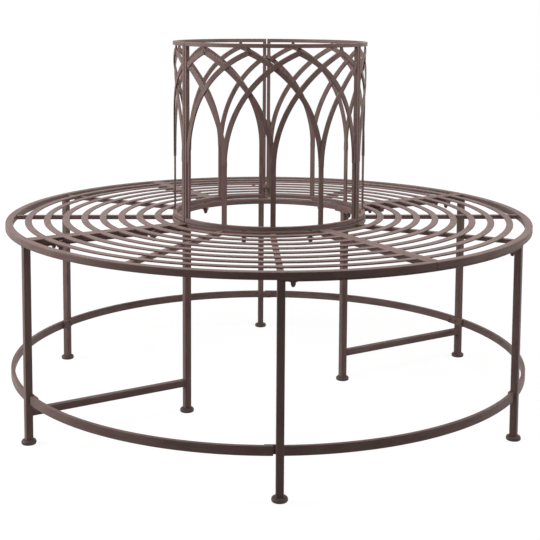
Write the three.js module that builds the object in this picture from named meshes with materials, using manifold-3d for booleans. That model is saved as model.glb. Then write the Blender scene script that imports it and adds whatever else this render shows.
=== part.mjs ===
// A round bench that stands about a tree trunk, built of powder-coated steel.
// Four quarter panels make the ring-shaped seat, three curved panels make the backrest,
// and four welded leg frames carry them, tied together low down by a hoop.
// Lengths are millimetres and the origin is on the floor, in the middle of the ring.
import * as THREE from 'three';
import { mergeVertices } from 'three/addons/utils/BufferGeometryUtils.js';
import Module from 'manifold-3d';

const wasm = await Module();
wasm.setup();

// Driving dimensions of the whole bench
const seatRadius = 625;
const seatHeight = 453;
const openingRadius = 217;
const backTopHeight = 871.5;
const firstJoint = -60;
const fitGap = 0.3;
const weldDepth = 0.5;
const mergeDistance = 0.0003;

// Seat panels: a square-edged rim tube, flat slats on radial bars, and an inner ring tube
const seatPanelCount = 4;
const rimWidth = 17;
const rimDepth = 15.5;
const ringWidth = 17;
const ringDepth = 13;
const seatTubeWall = 1.5;
const slatCount = 8;
const slatWidth = 16;
const slatThickness = 3;
const barWidth = 12.5;
const endStripWidth = 14;
const endBarWidth = 7;
const barDepth = 9.5;
const seatBarSpaces = 3;
const seatJointGap = 1;

// Leg frames: square tube legs on round feet, capped by flat bars under the seat
const frameTubeSide = 16;
const frameTubeWall = 1.5;
const legInset = 0.6;
const topBarThickness = 3;
const topBarWidth = 17;
const footRadius = 16.5;
const footHeight = 9;
const footEdge = 2.2;
const footPlugHeight = 15;
const crossbarHeight = 71;
const rimLegCount = 6;

// Hoop: an upright flat bar inside the legs, welded in two places and bolted in four
const hoopThickness = 9;
const hoopDepth = 19.5;
const hoopTopHeight = 110;
const hoopEndRoom = 5;
const spliceThickness = 3;
const spliceReach = 22;

// Backrest panels: two curved rails, end posts, and a lattice of pointed arches
const backPanelCount = 3;
const backInset = 1.5;
const railSide = 9;
const railLift = 2;
const postWidth = 8.5;
const backJointGap = 2.5;
const latticeWidth = 12;
const latticeThickness = 4;
const layerStep = 1;
const latticeFeet = 5;
const endFootInset = 12.2;
const archSpringShare = 0.328;
const archForkShare = 0.438;
const archReachShare = 1.5;
const archTopRoom = 11.3;

// Fasteners
const boltRadius = 3;
const washerRadius = 8.5;
const washerThickness = 1.6;
const capRadius = 5.6;
const capHeight = 11;
const capCollar = 4;
const seatBoltLength = 12;
const nearLegBolt = 23;
const farLegBolt = 44;
const frameTabInset = 80;
const innerTabInset = 105;
const frameTabOffset = 20;
const frameTabSize = 17;
const frameTabThickness = 5;
const domeRadius = 5.4;
const domeHeight = 4;
const domeDepth = 6;
const hoopBoltInset = 16;
const legBoltRise = 3;
const backBoltBefore = 16.5;
const backBoltAfter = 22;
const bossRadius = 6;
const sleeveRadius = 4.5;
const sleeveLength = 3.5;
const tiePlateDrop = 40.5;
const tieHeight = 14;
const tieThickness = 2.5;
const tieBoltRadius = 2.4;
const tieDomeRadius = 4.4;

// Smoothness of the curved pieces
const arcStep = 6;
const slatStep = 7.5;
const hoopStep = 3;
const boltSides = 6;
const footSides = 10;
const archSteps = 8;
const domeRows = 2;
const stepSlackShare = 0.1;

// Levels and radii that follow from the sizes above
const rimBottom = seatHeight - rimDepth;
const ringBottom = seatHeight - ringDepth;
const slatBottom = seatHeight - slatThickness;
const barBottom = slatBottom - barDepth;
const endBarBottom = rimBottom + fitGap;
const frameTabTop = rimBottom + frameTabThickness;
const legTop = rimBottom - topBarThickness;
const rimInner = seatRadius - rimWidth;
const ringOuter = openingRadius + ringWidth;
const legOuterFace = seatRadius - legInset;
const legRadius = legOuterFace - frameTubeSide / 2;
const legInnerFace = legRadius - frameTubeSide / 2;
const innerLegRadius = openingRadius + ringWidth / 2 + legInset;
const hoopInner = legInnerFace;
const hoopOuter = hoopInner + hoopThickness;
const hoopBottom = hoopTopHeight - hoopDepth;
const hoopMiddle = hoopTopHeight - hoopDepth / 2;
const spliceOuter = hoopInner - fitGap;
const spliceInner = spliceOuter - spliceThickness;
const backOuter = ringOuter - backInset;
const backInner = backOuter - railSide;
const backMiddle = backOuter - railSide / 2;
const lowRailBottom = seatHeight + railLift;
const lowRailTop = lowRailBottom + railSide;
const topRailBottom = backTopHeight - railSide;
const tiePlateHeight = topRailBottom - tiePlateDrop;
const frameTabRadii = [seatRadius - frameTabInset, openingRadius + innerTabInset];
const seatPanelAngle = 360 / seatPanelCount;
const backPanelAngle = 360 / backPanelCount;
const legSpacing = 360 / rimLegCount;
const endBarStart = seatJointGap / 2;
const endBarEnd = endBarStart + endBarWidth;
const endStripEnd = endBarStart + endStripWidth;
const postStart = backJointGap / 2;
const postEnd = postStart + postWidth;
const boltHole = boltRadius + fitGap;
const tieHole = tieBoltRadius + fitGap;

// Finishes
const coat = { color: 0x7b6761, roughness: 0.48, metalness: 0.35 };
const plastic = { color: 0x5d4f4b, roughness: 0.6, metalness: 0 };

const bench = new THREE.Group();

function radians(degrees) {
  return THREE.MathUtils.degToRad(degrees);
}

function add(parent, name, geometry, finish) {
  const mesh = new THREE.Mesh(geometry, new THREE.MeshStandardMaterial(finish));
  mesh.name = name;
  parent.add(mesh);
  return mesh;
}

// The front of the bench is at angle 0 and angles grow towards +X.
function turned(degrees) {
  const group = new THREE.Group();
  group.rotation.z = radians(degrees) - Math.PI / 2;
  bench.add(group);
  return group;
}

function bare(geometry) {
  const plain = geometry.index ? geometry.toNonIndexed() : geometry.clone();
  plain.deleteAttribute('normal');
  plain.deleteAttribute('uv');
  return plain;
}

function toSolid(geometry) {
  const welded = mergeVertices(bare(geometry), mergeDistance);
  return new wasm.Manifold(new wasm.Mesh({
    numProp: 3,
    vertProperties: new Float32Array(welded.attributes.position.array),
    triVerts: new Uint32Array(welded.index.array),
  }));
}

function toGeometry(solid) {
  const mesh = solid.getMesh();
  const geometry = new THREE.BufferGeometry();
  geometry.setAttribute('position', new THREE.BufferAttribute(new Float32Array(mesh.vertProperties), 3));
  geometry.setIndex(new THREE.BufferAttribute(new Uint32Array(mesh.triVerts), 1));
  geometry.computeVertexNormals();
  return geometry;
}

function drilled(geometry, cutters) {
  let solid = toSolid(geometry);
  for (const cutter of cutters) solid = solid.subtract(toSolid(cutter));
  return toGeometry(solid);
}

function joined(geometries) {
  let solid = toSolid(geometries[0]);
  for (const geometry of geometries.slice(1)) solid = solid.add(toSolid(geometry));
  return solid;
}

function boxBetween(low, high) {
  const size = high.map((value, axis) => value - low[axis]);
  const middle = high.map((value, axis) => (value + low[axis]) / 2);
  return new THREE.BoxGeometry(...size).translate(...middle);
}

function steps(angle, step) {
  return Math.max(1, Math.ceil(angle / step - stepSlackShare));
}

// Points along an arc whose two ends stand a little room inside the radial lines of its angles.
function arcPoints(radius, startAngle, endAngle, room, step) {
  const first = radians(startAngle) + Math.asin(room / radius);
  const last = radians(endAngle) - Math.asin(room / radius);
  const count = steps(endAngle - startAngle, step);
  const points = [];
  for (let index = 0; index <= count; index += 1) {
    const angle = first + (last - first) * (index / count);
    points.push(new THREE.Vector2(radius * Math.cos(angle), radius * Math.sin(angle)));
  }
  return points;
}

// A curved bar with flat ends, in local axes.
function arcBar(inner, outer, bottom, top, startAngle, endAngle, room, step = arcStep) {
  const shape = new THREE.Shape([
    ...arcPoints(outer, startAngle, endAngle, room, step),
    ...arcPoints(inner, startAngle, endAngle, room, step).reverse(),
  ]);
  return new THREE.ExtrudeGeometry(shape, { depth: top - bottom, bevelEnabled: false })
    .translate(0, 0, bottom);
}

// The bore of a bent tube, longer than the tube by the wall at both ends.
function arcTube(inner, outer, bottom, top, startAngle, endAngle, room, wall) {
  const bore = arcBar(inner + wall, outer - wall, bottom + wall, top - wall, startAngle, endAngle, room - wall);
  return drilled(arcBar(inner, outer, bottom, top, startAngle, endAngle, room), [bore]);
}

// A straight square tube along X or Z, open at both ends.
function straightTube(low, high, axis, wall) {
  const boreLow = low.map((value, index) => (index === axis ? value - wall : value + wall));
  const boreHigh = high.map((value, index) => (index === axis ? value + wall : value - wall));
  return drilled(boxBetween(low, high), [boxBetween(boreLow, boreHigh)]);
}

// How far a flat end of this width must stop short of a faceted bore whose corner it faces.
function facetRoom(width) {
  return width * Math.tan(radians(arcStep / 2)) / 2 + fitGap;
}

function pin(radius, length) {
  return new THREE.CylinderGeometry(radius, radius, length, boltSides).rotateX(Math.PI / 2);
}

function verticalPin(radius, low, high, x, y) {
  return pin(radius, high - low).translate(x, y, (low + high) / 2);
}

function lathe(points, sides) {
  const profile = points.map(([radius, height]) => new THREE.Vector2(radius, height));
  return new THREE.LatheGeometry(profile, sides).rotateX(Math.PI / 2);
}

function domePoints(radius, height, rows) {
  const points = [];
  for (let row = 1; row < rows; row += 1) {
    const turn = (Math.PI / 2) * (row / rows);
    points.push([radius * Math.cos(turn), height * Math.sin(turn)]);
  }
  return points;
}

// A bolt whose washer and domed cap nut hang below a plate, with the plate's underside at z = 0.
function capNutBolt(length) {
  const collarEnd = washerThickness + capCollar;
  const dome = domePoints(capRadius, capHeight - capCollar, domeRows + 1)
    .map(([radius, height]) => [radius, -collarEnd - height]);
  const profile = [[0, -washerThickness - capHeight], ...dome.reverse(), [capRadius, -collarEnd],
    [capRadius, -washerThickness], [washerRadius, -washerThickness], [washerRadius, 0], [boltRadius, 0],
    [boltRadius, length], [0, length]];
  return lathe(profile, boltSides);
}

// A dome-headed bolt whose head stands on z = 0 and whose shank runs down.
function domeBolt(headRadius, headHeight, shankRadius, depth) {
  const dome = domePoints(headRadius, headHeight, domeRows);
  return lathe([[0, -depth], [shankRadius, -depth], [shankRadius, 0], [headRadius, 0],
    ...dome, [0, headHeight]], boltSides);
}

// Seat panels. In each panel's own axes the panel runs from the X axis round to its end angle.
const slatGap = (rimInner - ringOuter - slatCount * slatWidth) / (slatCount + 1);
const panelNames = ['front_left', 'front_right', 'back_right', 'back_left'];
const barSpacing = seatPanelAngle / seatBarSpaces;

function slatGeometries() {
  const slats = [];
  for (let index = 0; index < slatCount; index += 1) {
    const outer = rimInner - slatGap - index * (slatWidth + slatGap);
    slats.push(arcBar(outer - slatWidth, outer, slatBottom, seatHeight, 0, seatPanelAngle, endBarStart,
      slatStep));
  }
  return slats;
}

// Each end of a panel has a strip flush with the slats on a narrow bar, and one of the two ends has
// two drilled tabs where a radial frame bolts on.
function endBar(side, angle, hasTabs) {
  const start = ringOuter + fitGap;
  const end = rimInner - facetRoom(endStripWidth * 2);
  const across = (distance) => [Math.min(side * endBarStart, side * distance),
    Math.max(side * endBarStart, side * distance)];
  const [stripNear, stripFar] = across(endStripEnd);
  const [near, far] = across(endBarEnd);
  const pieces = [boxBetween([start, stripNear, slatBottom], [end, stripFar, seatHeight]),
    boxBetween([start, near, endBarBottom], [end, far, slatBottom + weldDepth])];
  const [tabNear, tabFar] = across(frameTabOffset + frameTabSize / 2);
  for (const radius of hasTabs ? frameTabRadii : []) {
    const tab = boxBetween([radius - frameTabSize / 2, tabNear, rimBottom],
      [radius + frameTabSize / 2, tabFar, frameTabTop]);
    pieces.push(drilled(tab, [verticalPin(boltHole, rimBottom - fitGap, frameTabTop + fitGap,
      radius, side * frameTabOffset)]));
  }
  return pieces.map((piece) => piece.rotateZ(radians(angle)));
}

function barGeometries(tabsAtStart) {
  const bars = [...endBar(1, 0, tabsAtStart), ...endBar(-1, seatPanelAngle, !tabsAtStart)];
  for (let index = 1; index < seatBarSpaces; index += 1) {
    const bar = boxBetween([ringOuter + fitGap, -barWidth / 2, barBottom],
      [rimInner - facetRoom(barWidth), barWidth / 2, slatBottom + weldDepth]);
    bars.push(bar.rotateZ(radians(index * barSpacing)));
  }
  return bars;
}

// Angles of the cap nuts under the rim, measured from the tangential frame's own joint line.
function alongRim(distance) {
  return THREE.MathUtils.radToDeg(distance / legRadius);
}

const halfSpacing = legSpacing / 2;
const rimBoltAngles = [-halfSpacing + alongRim(nearLegBolt), halfSpacing - alongRim(farLegBolt)];
const ringMiddle = openingRadius + ringWidth / 2;
const padBoltAngle = THREE.MathUtils.radToDeg(frameTabOffset / ringMiddle);
const backBoltAngles = [backPanelAngle / 2 - backBoltBefore, backPanelAngle / 2 + backBoltAfter];

// Bolt holes in a panel's tube, at those angles that lie within the panel.
function boltHoles(angles, radius, low, high, panelStart) {
  const cutters = [];
  for (const angle of angles) {
    const local = THREE.MathUtils.euclideanModulo(angle - panelStart, 360);
    const hole = verticalPin(boltHole, low, high, radius, 0);
    if (local < seatPanelAngle) cutters.push(hole.rotateZ(radians(local)));
  }
  return cutters;
}

const tangentialJoints = [1, 3].map((index) => firstJoint + index * seatPanelAngle);
const radialJoints = [0, 2].map((index) => firstJoint + index * seatPanelAngle);
const backJoints = [0, 1, 2].map((index) => firstJoint + index * backPanelAngle);
const rimBolts = tangentialJoints.flatMap((joint) => rimBoltAngles.map((angle) => joint + angle));
const padBolts = radialJoints.map((joint) => joint - padBoltAngle);
const backBolts = backJoints.flatMap((joint) => backBoltAngles.map((angle) => joint + angle));

panelNames.forEach((name, index) => {
  const start = firstJoint + index * seatPanelAngle;
  const panel = turned(start);
  const rimHoles = boltHoles(rimBolts, legRadius, rimBottom - fitGap, rimBottom + 2 * seatTubeWall, start);
  const ringHoles = [
    ...boltHoles(padBolts, ringMiddle, ringBottom - fitGap, ringBottom + 2 * seatTubeWall, start),
    ...boltHoles(backBolts, backMiddle, ringBottom - fitGap, seatHeight + fitGap, start)];
  const rim = arcTube(rimInner, seatRadius, rimBottom, seatHeight, 0, seatPanelAngle, endBarStart, seatTubeWall);
  const ring = arcTube(openingRadius, ringOuter, ringBottom, seatHeight, 0, seatPanelAngle, endBarStart,
    seatTubeWall);
  add(panel, `seat_rim_${name}`, drilled(rim, rimHoles), coat);
  add(panel, `seat_inner_ring_${name}`, drilled(ring, ringHoles), coat);
  const grid = joined([...barGeometries(index % 2 === 0), ...slatGeometries()]);
  add(panel, `seat_grid_${name}`, toGeometry(grid), coat);
});

// Feet: round glides whose plugs sit in the open bottoms of the legs
function footGeometry() {
  const plugRadius = frameTubeSide / 2 - frameTubeWall - fitGap;
  return lathe([[0, 0], [footRadius - footEdge, 0], [footRadius, footEdge], [footRadius, footHeight - footEdge],
    [footRadius - footEdge, footHeight], [plugRadius, footHeight], [plugRadius, footHeight + footPlugHeight],
    [0, footHeight + footPlugHeight]], footSides);
}

// A leg in local axes, with its middle on the X axis at the given radius.
function legGeometry(radius, holes) {
  const half = frameTubeSide / 2;
  const leg = straightTube([radius - half, -half, footHeight], [radius + half, half, legTop], 2, frameTubeWall);
  return drilled(leg, holes);
}

function radialPin(radius, low, high, height) {
  return pin(radius, high - low).rotateY(Math.PI / 2).translate((low + high) / 2, 0, height);
}

const legHole = () => radialPin(boltHole, legInnerFace - fitGap, legInnerFace + 2 * frameTubeWall,
  hoopMiddle + legBoltRise);

function addLegOnFoot(frame, name, radius, angle, holes) {
  add(frame, name, legGeometry(radius, holes).rotateZ(radians(angle)), coat);
  add(frame, `foot_${name}`, footGeometry().translate(radius, 0, 0).rotateZ(radians(angle)), plastic);
}

function hangingBolt(length, x, y, height = legTop) {
  return capNutBolt(length).translate(x, y, height);
}

// Radial frames: an outer and an inner leg under a joint of the seat, a low crossbar, and a flat
// bar on top, with a pad bolted under the inner ring and arms bolted up to the seat's tabs
const radialNames = ['left', 'right'];
radialJoints.forEach((joint, index) => {
  const frame = turned(joint);
  const name = radialNames[index];
  const half = frameTubeSide / 2;
  addLegOnFoot(frame, `outer_leg_${name}`, legRadius, 0, [legHole()]);
  addLegOnFoot(frame, `inner_leg_${name}`, innerLegRadius, 0, []);
  add(frame, `crossbar_${name}`, straightTube(
    [innerLegRadius + half + fitGap, -half, crossbarHeight - half],
    [legInnerFace - fitGap, half, crossbarHeight + half], 0, frameTubeWall), coat);

  const halfBar = topBarWidth / 2;
  const halfArm = frameTabSize / 2;
  const armReach = frameTabOffset + halfArm;
  const padReach = THREE.MathUtils.radToDeg(armReach / ringMiddle);
  const pieces = [boxBetween([innerLegRadius - half, -halfBar, legTop], [legOuterFace, halfBar, rimBottom]),
    arcBar(openingRadius, ringOuter, rimBottom - weldDepth, ringBottom, -padReach, padReach, 0)];
  for (const radius of frameTabRadii) {
    pieces.push(boxBetween([radius - halfArm, -armReach, legTop], [radius + halfArm, armReach, rimBottom]));
    for (const side of [-1, 1]) pieces.push(hangingBolt(seatBoltLength, radius, side * frameTabOffset));
  }
  pieces.push(hangingBolt(ringBottom - rimBottom + seatTubeWall, ringMiddle, 0, rimBottom)
    .rotateZ(radians(-padBoltAngle)));
  add(frame, `top_bar_${name}`, toGeometry(joined(pieces)), coat);
});

// Tangential frames: two rim legs, a bent flat bar over them and a welded piece of the hoop
const tangentialNames = ['front', 'back'];
const rimLegNames = [['middle', 'right'], ['middle', 'left']];
tangentialJoints.forEach((joint, index) => {
  const frame = turned(joint);
  const name = tangentialNames[index];
  [-halfSpacing, halfSpacing].forEach((angle, side) => {
    addLegOnFoot(frame, `rim_leg_${name}_${rimLegNames[index][side]}`, legRadius, angle, [legHole()]);
  });
  const pieces = [arcBar(legOuterFace - topBarWidth, legOuterFace, legTop, rimBottom,
    -halfSpacing, halfSpacing, -frameTubeSide / 2)];
  for (const angle of rimBoltAngles) {
    pieces.push(hangingBolt(topBarThickness + seatTubeWall, legRadius, 0).rotateZ(radians(angle)));
  }
  add(frame, `rim_bar_${name}`, toGeometry(joined(pieces)), coat);
  add(frame, `hoop_welded_${name}`, arcBar(hoopInner, hoopOuter, hoopBottom, hoopTopHeight,
    -halfSpacing, halfSpacing, frameTubeSide / 2 + fitGap, hoopStep), coat);
});

// Bolted hoop pieces: each one spans two legs and has a bolt hole near both ends
function alongHoop(distance) {
  return THREE.MathUtils.radToDeg(distance / hoopInner);
}

const hoopBoltAngle = alongHoop(frameTubeSide / 2 + hoopBoltInset);
const hoopNames = new Map([[0, 'left_front'], [2, 'right_front'], [3, 'right_back'], [5, 'left_back']]);
for (const [place, name] of hoopNames) {
  const span = turned(firstJoint + place * legSpacing);
  const holes = [hoopBoltAngle, legSpacing - hoopBoltAngle].map((angle) => radialPin(boltHole,
    hoopInner - 2 * fitGap, hoopInner + domeDepth, hoopMiddle).rotateZ(radians(angle)));
  const piece = arcBar(hoopInner, hoopOuter, hoopBottom, hoopTopHeight, 0, legSpacing,
    frameTubeSide / 2 + hoopEndRoom, hoopStep);
  add(span, `hoop_bolted_${name}`, drilled(piece, holes), coat);
}

// Splice plates bridge from each leg to the bolted hoop pieces, on the inner faces, with dome bolts
const spliceNames = ['left', 'front', 'right_front', 'right', 'back', 'left_back'];
spliceNames.forEach((name, place) => {
  const hoopAfter = hoopNames.has(place);
  const hoopBefore = hoopNames.has((place + rimLegCount - 1) % rimLegCount);
  const half = alongHoop(frameTubeSide / 2);
  const reach = alongHoop(frameTubeSide / 2 + spliceReach);
  const plate = arcBar(spliceInner, spliceOuter, hoopBottom, hoopTopHeight,
    hoopBefore ? -reach : -half, hoopAfter ? reach : half, 0);
  const spots = [[0, hoopMiddle + legBoltRise]];
  if (hoopBefore) spots.push([-hoopBoltAngle, hoopMiddle]);
  if (hoopAfter) spots.push([hoopBoltAngle, hoopMiddle]);
  const bolts = spots.map(([turn, height]) => domeBolt(domeRadius, domeHeight, boltRadius, domeDepth)
    .rotateY(-Math.PI / 2).translate(spliceInner + weldDepth, 0, height).rotateZ(radians(turn)));
  const leg = turned(firstJoint + place * legSpacing);
  add(leg, `hoop_splice_${name}`, toGeometry(joined([plate, ...bolts])), coat);
});

// Backrest lattice. Strips are laid out flat, as arc length along the back and height,
// and then bent on to the backrest's circle.
const backArc = radians(backPanelAngle) * backMiddle;
const footPitch = (backArc - 2 * endFootInset) / (latticeFeet - 1);
const archReach = archReachShare * footPitch;
const clearHeight = topRailBottom - lowRailTop;
const archSpringHeight = lowRailTop + archSpringShare * clearHeight;
const archForkHeight = lowRailTop + archForkShare * clearHeight;
const archApexHeight = topRailBottom - archTopRoom;
const archRise = archApexHeight - archSpringHeight;
const archRadius = (archReach * archReach + archRise * archRise) / (2 * archReach);
const archApexTurn = Math.atan2(archRise, archRadius - archReach);
const sectionCorners = 4;

function bentStrip(stations, layer) {
  const half = latticeWidth / 2;
  const inner = backMiddle + layer - latticeThickness / 2;
  const outer = inner + latticeThickness;
  const corners = [];
  for (const [along, height, leanAlong, leanHeight] of stations) {
    for (const [side, radius] of [[-1, inner], [-1, outer], [1, outer], [1, inner]]) {
      const angle = (along + side * half * leanAlong) / backMiddle;
      corners.push(radius * Math.cos(angle), radius * Math.sin(angle), height + side * half * leanHeight);
    }
  }
  const faces = [];
  const quad = (a, b, c, d) => faces.push(a, c, b, a, d, c);
  const top = sectionCorners * (stations.length - 1);
  for (let low = 0; low < top; low += sectionCorners) {
    const high = low + sectionCorners;
    for (let side = 0; side < sectionCorners; side += 1) {
      const next = (side + 1) % sectionCorners;
      quad(low + side, high + side, high + next, low + next);
    }
  }
  quad(0, 1, 2, 3);
  quad(top + 3, top + 2, top + 1, top);
  const geometry = new THREE.BufferGeometry();
  geometry.setAttribute('position', new THREE.Float32BufferAttribute(corners, 3));
  geometry.setIndex(faces);
  return geometry;
}

function uprightStrip(along, bottom, top) {
  return bentStrip([[along, bottom, 1, 0], [along, top, 1, 0]], 0);
}

// One side of a pointed arch: it leaves its foot upright and leans over to its apex.
function archStrip(foot, side) {
  const stations = [];
  for (let step = 0; step <= archSteps; step += 1) {
    const turn = archApexTurn * (step / archSteps);
    stations.push([foot + side * archRadius * (1 - Math.cos(turn)),
      archSpringHeight + archRadius * Math.sin(turn), Math.cos(turn), -side * Math.sin(turn)]);
  }
  return bentStrip(stations, side * layerStep);
}

function postGeometry(side) {
  const near = side > 0 ? postStart : -postEnd;
  const far = side > 0 ? postEnd : -postStart;
  const post = boxBetween([backInner, near, lowRailTop], [backOuter, far, topRailBottom]);
  const holes = [radialPin(tieHole, backInner - fitGap, backInner + domeDepth, tiePlateHeight)
    .translate(0, (near + far) / 2, 0)];
  return drilled(post, holes).rotateZ(side > 0 ? 0 : radians(backPanelAngle));
}

function latticeGeometry() {
  const footAt = (index) => endFootInset + index * footPitch;
  const strips = [];
  for (let index = 0; index < latticeFeet; index += 1) {
    strips.push(uprightStrip(footAt(index), lowRailTop, archForkHeight));
  }
  for (let index = 0; index + 1 < latticeFeet; index += 1) {
    strips.push(uprightStrip(footAt(index + 0.5), archApexHeight, topRailBottom));
  }
  for (let index = -1; index <= latticeFeet; index += 1) {
    strips.push(archStrip(footAt(index), 1), archStrip(footAt(index), -1));
  }
  let lattice = joined(strips);
  const beyond = 2 * archApexHeight;
  const cutEnd = postEnd - weldDepth;
  for (const side of [1, -1]) {
    const cutter = boxBetween([-openingRadius / 2, side > 0 ? -beyond : -cutEnd, 0],
      [beyond, side > 0 ? cutEnd : beyond, beyond]);
    lattice = lattice.subtract(toSolid(cutter.rotateZ(side > 0 ? 0 : radians(backPanelAngle))));
  }
  for (const side of [1, -1]) lattice = lattice.add(toSolid(postGeometry(side)));
  return toGeometry(lattice);
}

// Low rails stand on short bosses, and bolts run down from them through the inner ring to a sleeve
// and a cap nut
function backBolt(angle) {
  const boss = lathe([[0, seatHeight], [bossRadius, seatHeight], [bossRadius, lowRailBottom + weldDepth],
    [0, lowRailBottom + weldDepth]], boltSides);
  const sleeveBottom = ringBottom - sleeveLength;
  const sleeve = lathe([[0, sleeveBottom], [sleeveRadius, sleeveBottom], [sleeveRadius, ringBottom],
    [0, ringBottom]], boltSides);
  const bolt = hangingBolt(lowRailBottom - sleeveBottom, 0, 0, sleeveBottom);
  return [boss, sleeve, bolt].map((piece) => piece.translate(backMiddle, 0, 0).rotateZ(radians(angle)));
}

const backNames = ['front', 'back_right', 'back_left'];
const tieNames = ['left', 'right', 'back'];
backNames.forEach((name, index) => {
  const panel = turned(firstJoint + index * backPanelAngle);
  const lowRail = joined([arcBar(backInner, backOuter, lowRailBottom, lowRailTop, 0, backPanelAngle, postStart),
    ...backBoltAngles.flatMap(backBolt)]);
  add(panel, `back_low_rail_${name}`, toGeometry(lowRail), coat);
  add(panel, `back_top_rail_${name}`, arcBar(backInner, backOuter, topRailBottom, backTopHeight,
    0, backPanelAngle, postStart), coat);
  add(panel, `back_lattice_${name}`, latticeGeometry(), coat);

  const plateFace = backInner - fitGap;
  const pieces = [boxBetween([plateFace - tieThickness, -postEnd, tiePlateHeight - tieHeight / 2],
    [plateFace, postEnd, tiePlateHeight + tieHeight / 2])];
  for (const side of [-1, 1]) {
    const bolt = domeBolt(tieDomeRadius, domeHeight, tieBoltRadius, domeDepth).rotateY(-Math.PI / 2);
    pieces.push(bolt.translate(plateFace - tieThickness + weldDepth, side * (postStart + postEnd) / 2,
      tiePlateHeight));
  }
  add(panel, `back_tie_plate_${tieNames[index]}`, toGeometry(joined(pieces)), coat);
});

export default bench;
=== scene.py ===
"""A round tree bench of coated steel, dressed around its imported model. Lengths are metres."""
import math

import bmesh
import bpy
from mathutils import Matrix, Vector


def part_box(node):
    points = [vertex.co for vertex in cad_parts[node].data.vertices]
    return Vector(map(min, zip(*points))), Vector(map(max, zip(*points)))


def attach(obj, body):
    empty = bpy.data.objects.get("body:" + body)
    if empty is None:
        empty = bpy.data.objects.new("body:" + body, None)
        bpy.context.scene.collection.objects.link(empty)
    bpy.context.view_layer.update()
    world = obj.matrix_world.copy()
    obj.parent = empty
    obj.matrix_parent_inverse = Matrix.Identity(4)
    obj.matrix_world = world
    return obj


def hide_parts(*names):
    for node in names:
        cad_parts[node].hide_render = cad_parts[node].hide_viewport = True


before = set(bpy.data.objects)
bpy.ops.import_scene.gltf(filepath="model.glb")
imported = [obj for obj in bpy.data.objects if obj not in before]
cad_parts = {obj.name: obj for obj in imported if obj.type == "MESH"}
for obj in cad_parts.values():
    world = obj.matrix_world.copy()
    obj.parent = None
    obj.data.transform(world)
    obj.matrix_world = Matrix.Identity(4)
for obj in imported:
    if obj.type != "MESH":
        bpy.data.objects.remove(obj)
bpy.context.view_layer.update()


# The legs are square steel tubes with softly rounded corners, cut square at both ends.
# Each leg frame has two of them, and its low crossbar, where it has one, is the same tube.
# The whole bench is powder coated in one mottled brown-bronze with a fine texture.
TUBE_SIDE = 0.016
TUBE_CORNER = 0.0022
CORNER_POINTS = 4
RIM_LEG_RADIUS = 0.6164
INNER_LEG_RADIUS = 0.2261
LEFT_FRAME = -60.0
RIGHT_FRAME = 120.0
END_BEVEL = 0.0004
WELDED_END_BEVEL = 0.00005
GRAIN = "grain"
SHARP_EDGE = math.radians(12)
COAT_TONES = ("6f5955", "846b67", "8e7470", "967e78")
TONE_STOPS = (0.3, 0.43, 0.56, 0.7)
COAT_ROUGHNESS = 0.5
ROUGHNESS_SPREAD = 0.09
COAT_SPECULAR = 0.2
STREAK_SCALE = (170.0, 9.0, 170.0)
PATCH_SCALE = (30.0, 11.0, 30.0)
HUE_SCALE = (140.0, 24.0, 140.0)
REDDEST_HUE = 0.465
YELLOWEST_HUE = 0.545
SPECK_SCALE = 1400.0
PEEL_SCALE = 520.0


def bench_turn(degrees):
    """Turns a piece made along X to its bench angle, which is 0 at the front and grows towards +X."""
    return Matrix.Rotation(math.radians(degrees) - math.pi / 2, 4, "Z")


def rounded_outline(width, depth, corner):
    """The corner points of a rounded rectangle about the origin."""
    outline = []
    for quarter, (side_x, side_y) in enumerate(((1, 1), (-1, 1), (-1, -1), (1, -1))):
        centre = Vector((side_x * (width / 2 - corner), side_y * (depth / 2 - corner)))
        for step in range(CORNER_POINTS + 1):
            turn = math.radians(90) * (quarter + step / CORNER_POINTS)
            outline.append(centre + corner * Vector((math.cos(turn), math.sin(turn))))
    return outline


def finish_mesh(mesh, material, sharp=SHARP_EDGE):
    """Gives a mesh its material, and smooth faces between its sharp edges."""
    mesh.materials.clear()
    mesh.materials.append(material)
    mesh.shade_smooth()
    mesh.set_sharp_from_angle(angle=sharp)


def set_grain(mesh, grain_of):
    """Keeps on each vertex its place in the coat's grain: across, along and through the piece."""
    layer = mesh.attributes.new(GRAIN, "FLOAT_VECTOR", "POINT")
    for vertex, value in zip(mesh.vertices, layer.data):
        value.vector = grain_of(vertex.co)


def new_piece(name, mesh):
    piece = bpy.data.objects.new(name, mesh)
    bpy.context.scene.collection.objects.link(piece)
    return piece


def straight_bar(name, outline, start, end, place, material, end_bevel=END_BEVEL):
    """A bar with this outline along its own Z axis, from start to end, put where place says."""
    mesh = bpy.data.meshes.new(name)
    bm = bmesh.new()
    rings = []
    for height, inset in ((start, end_bevel), (start + end_bevel, 0), (end - end_bevel, 0),
                          (end, end_bevel)):
        shrunk = [point * (1 - inset / point.length) for point in outline]
        rings.append([bm.verts.new((point.x, point.y, height)) for point in shrunk])
    for low, high in zip(rings, rings[1:]):
        for index in range(len(outline)):
            after = (index + 1) % len(outline)
            bm.faces.new((low[index], low[after], high[after], high[index]))
    bm.faces.new(list(reversed(rings[0])))
    bm.faces.new(rings[-1])
    bm.to_mesh(mesh)
    bm.free()
    apart = len(bpy.data.meshes) * TUBE_SIDE
    set_grain(mesh, lambda co: (co.x + apart, co.z, co.y))
    mesh.transform(place)
    finish_mesh(mesh, material)
    return new_piece(name, mesh)


def on_bench(piece, slot, *nodes):
    """The piece rides on the bench's only body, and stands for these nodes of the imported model."""
    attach(piece, "root")
    if nodes:
        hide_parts(*nodes)


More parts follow.
